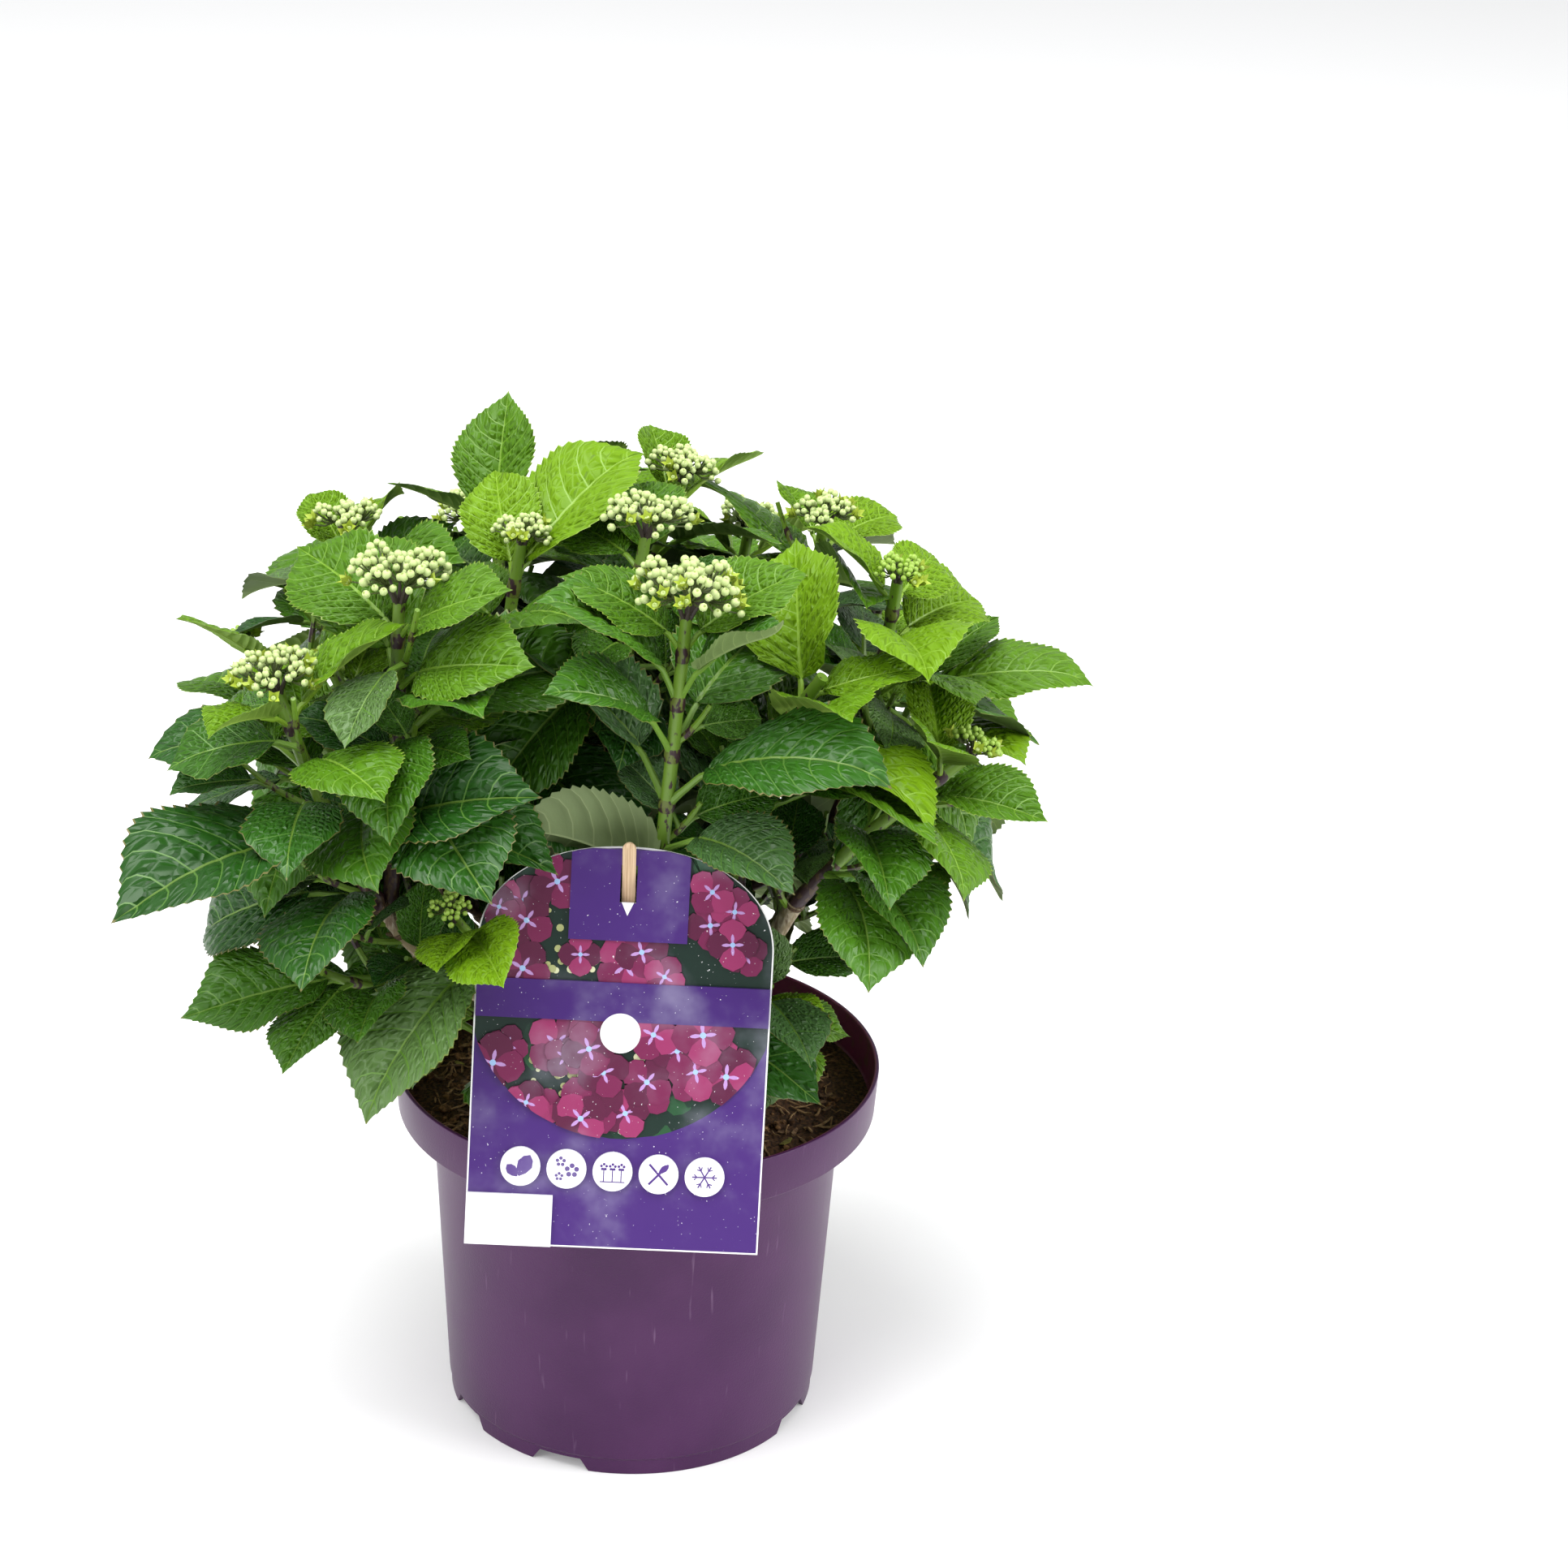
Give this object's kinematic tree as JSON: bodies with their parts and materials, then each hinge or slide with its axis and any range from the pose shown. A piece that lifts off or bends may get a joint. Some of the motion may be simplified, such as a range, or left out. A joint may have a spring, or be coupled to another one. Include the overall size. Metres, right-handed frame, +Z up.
{
  "type": "potted hydrangea shrub",
  "caption": "Bushy hydrangea in bud with leafy shoots on woody canes, in a round nursery pot of soil with a blank-lettered care tag on a stick.",
  "frame": {"origin": "centre of the pot's flat underside, on the ground", "axes": "+Z up along the pot's axis, -Y to the front, where the care tag hangs, +X to the viewer's right"},
  "size_m": [0.3573, 0.32, 0.3887],
  "materials": {
    "pot": "semi-gloss moulded plastic, dusky plum with light scuffs",
    "soil": "loose moist peat with fibres and wood bits",
    "tag": "laminated card, violet print with a thin white edge",
    "stick": "bare sawn wood",
    "bark": "grey-brown ridged bark",
    "foliage": "satin leaves, deep green to fresh yellow-green"
  },
  "bodies": {
    "root": {"bough_left_front": "bark", "bough_left_middle": "bark", "cane_back": "bark", "cane_back_left": "bark", "cane_back_right": "bark", "cane_centre": "bark", "cane_centre_back": "bark", "cane_centre_front": "bark", "cane_left": "bark", "cane_right": "bark", "cane_right_back": "bark", "cane_right_front": "bark", "care_tag": "tag", "pot": "pot", "shoot_back": "foliage", "shoot_back_left": "foliage", "shoot_back_right": "foliage", "shoot_centre": "foliage", "shoot_far_left": "foliage", "shoot_far_right": "foliage", "shoot_front_right": "foliage", "shoot_left_back": "foliage", "shoot_left_edge": "foliage", "shoot_left_front": "foliage", "shoot_left_inner": "foliage", "shoot_left_middle": "foliage", "shoot_low_back": "foliage", "shoot_low_back_right": "foliage", "shoot_low_left": "foliage", "shoot_low_right": "foliage", "shoot_right_back": "foliage", "shoot_right_front": "foliage", "shoot_right_middle": "foliage", "shoot_right_small": "foliage", "shoot_skirt_back": "foliage", "shoot_skirt_far_left": "foliage", "shoot_skirt_left": "foliage", "shoot_skirt_right": "foliage", "shoot_top": "foliage", "shoot_upper": "foliage", "shoot_upper_back": "foliage", "shoot_upper_left": "foliage", "soil": "soil", "tag_stick": "stick"}
  },
  "joints": []
}
